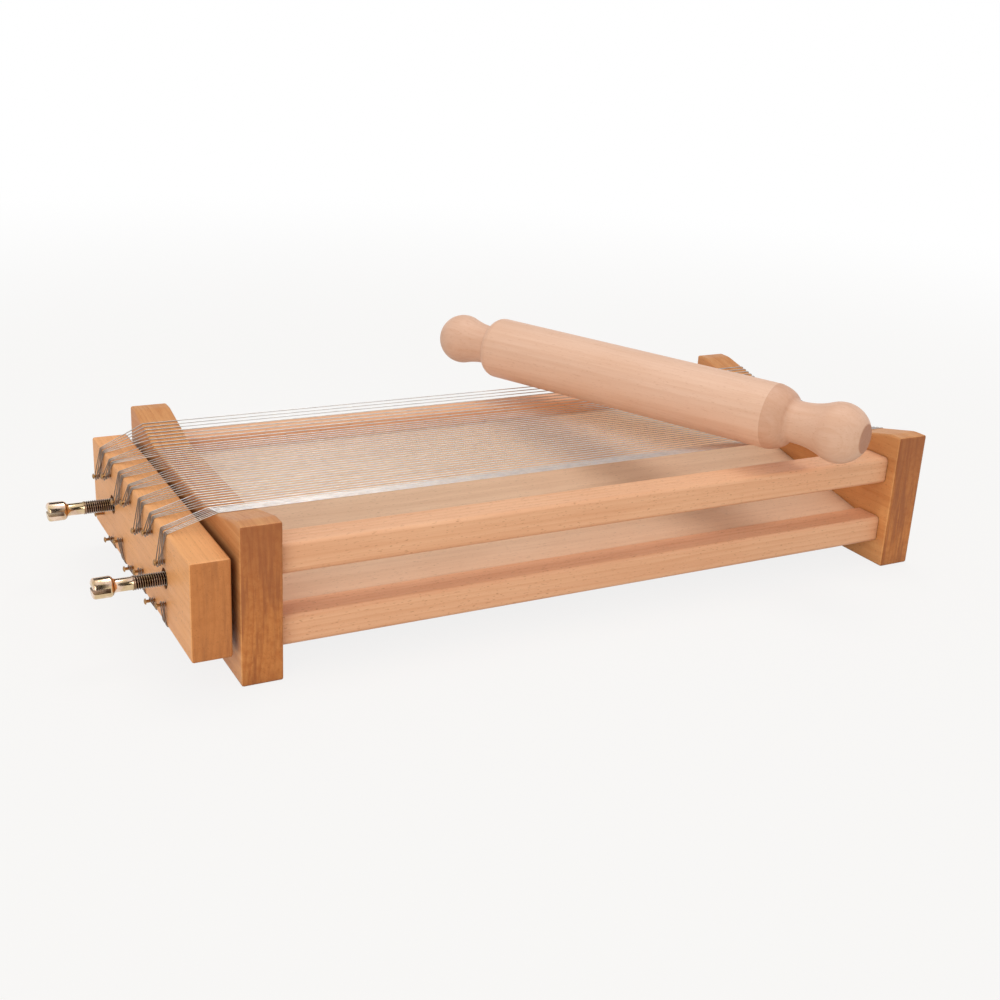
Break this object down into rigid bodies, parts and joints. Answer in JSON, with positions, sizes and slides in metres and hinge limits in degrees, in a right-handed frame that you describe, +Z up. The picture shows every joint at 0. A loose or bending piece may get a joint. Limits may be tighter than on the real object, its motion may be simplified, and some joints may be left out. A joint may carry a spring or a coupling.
{
  "type": "pasta chitarra",
  "caption": "Double-sided wooden frame strung with steel wire that cuts pasta sheets, with a ramp board, a bolt-driven tension block and a turned rolling pin.",
  "frame": {"origin": "middle of the whole footprint, on the surface that the feet stand on", "axes": "+X along the wires, from the tension bolts' end to the other, +Y from the front, where the ramp is low, to the back, +Z up"},
  "size_m": [0.5336, 0.3018, 0.1296],
  "materials": {
    "block_wood": "smooth sanded, oiled",
    "rail_wood": "smooth sanded beech",
    "ramp_wood": "plain thin board",
    "tension_wood": "smooth sanded beech",
    "pin_wood": "turned and sanded beech",
    "dowel_wood": "plain dowel rod",
    "bolt_metal": "yellow zinc plated steel",
    "nail_metal": "brass plated steel",
    "plate_steel": "plain steel",
    "string_steel": "drawn steel wire"
  },
  "bodies": {
    "frame": {"end_block_left": "block_wood", "end_block_right": "block_wood", "rail_front_upper": "rail_wood", "rail_front_lower": "rail_wood", "rail_back_upper": "rail_wood", "rail_back_lower": "rail_wood", "ramp_board": "ramp_wood", "thrust_plate_near": "plate_steel", "thrust_plate_far": "plate_steel", "strings_upper": "string_steel", "strings_lower": "string_steel", "dowel_front_upper_left": "dowel_wood", "dowel_front_upper_right": "dowel_wood", "dowel_front_lower_left": "dowel_wood", "dowel_front_lower_right": "dowel_wood", "dowel_back_upper_left": "dowel_wood", "dowel_back_upper_right": "dowel_wood", "dowel_back_lower_left": "dowel_wood", "dowel_back_lower_right": "dowel_wood", "nail_right_upper_1": "nail_metal", "nail_right_upper_2": "nail_metal", "nail_right_upper_3": "nail_metal", "nail_right_upper_4": "nail_metal", "nail_right_upper_5": "nail_metal", "nail_right_upper_6": "nail_metal", "nail_right_upper_7": "nail_metal", "nail_right_upper_8": "nail_metal", "nail_right_lower_1": "nail_metal", "nail_right_lower_2": "nail_metal", "nail_right_lower_3": "nail_metal", "nail_right_lower_4": "nail_metal", "nail_right_lower_5": "nail_metal", "nail_right_lower_6": "nail_metal", "nail_right_lower_7": "nail_metal"},
    "tension": {"tension_block": "tension_wood", "tee_nut_near": "plate_steel", "tee_nut_far": "plate_steel", "nail_left_upper_1": "nail_metal", "nail_left_upper_2": "nail_metal", "nail_left_upper_3": "nail_metal", "nail_left_upper_4": "nail_metal", "nail_left_upper_5": "nail_metal", "nail_left_upper_6": "nail_metal", "nail_left_upper_7": "nail_metal", "nail_left_lower_1": "nail_metal", "nail_left_lower_2": "nail_metal", "nail_left_lower_3": "nail_metal", "nail_left_lower_4": "nail_metal", "nail_left_lower_5": "nail_metal", "nail_left_lower_6": "nail_metal", "nail_left_lower_7": "nail_metal"},
    "bolt_near": {"tension_bolt_near": "bolt_metal"},
    "bolt_far": {"tension_bolt_far": "bolt_metal"},
    "pin": {"rolling_pin": "pin_wood"}
  },
  "joints": [
    {"name": "tension_slide", "type": "slide", "parent": "frame", "child": "tension", "axis": [-1, 0, 0], "range_m": [-0.0031, 0.0025], "deforming": ["strings_upper", "strings_lower"]},
    {"name": "bolt_near_turn", "type": "hinge", "parent": "frame", "child": "bolt_near", "pos_m": [-0.20325, -0.0675, 0.045], "axis": [1, 0, 0], "range_deg": [-900, 725]},
    {"name": "bolt_far_turn", "type": "hinge", "parent": "frame", "child": "bolt_far", "pos_m": [-0.20325, 0.0514, 0.045], "axis": [1, 0, 0], "range_deg": [-900, 725]},
    {"name": "rolling_pin_lift", "type": "slide", "parent": "frame", "child": "pin", "axis": [0, 0, 1], "range_m": [0, 0.15]}
  ],
  "couplings": [
    {"joint": "bolt_near_turn", "follows": "tension_slide", "rad_per_m": 5026.5},
    {"joint": "bolt_far_turn", "follows": "tension_slide", "rad_per_m": 5026.5}
  ]
}
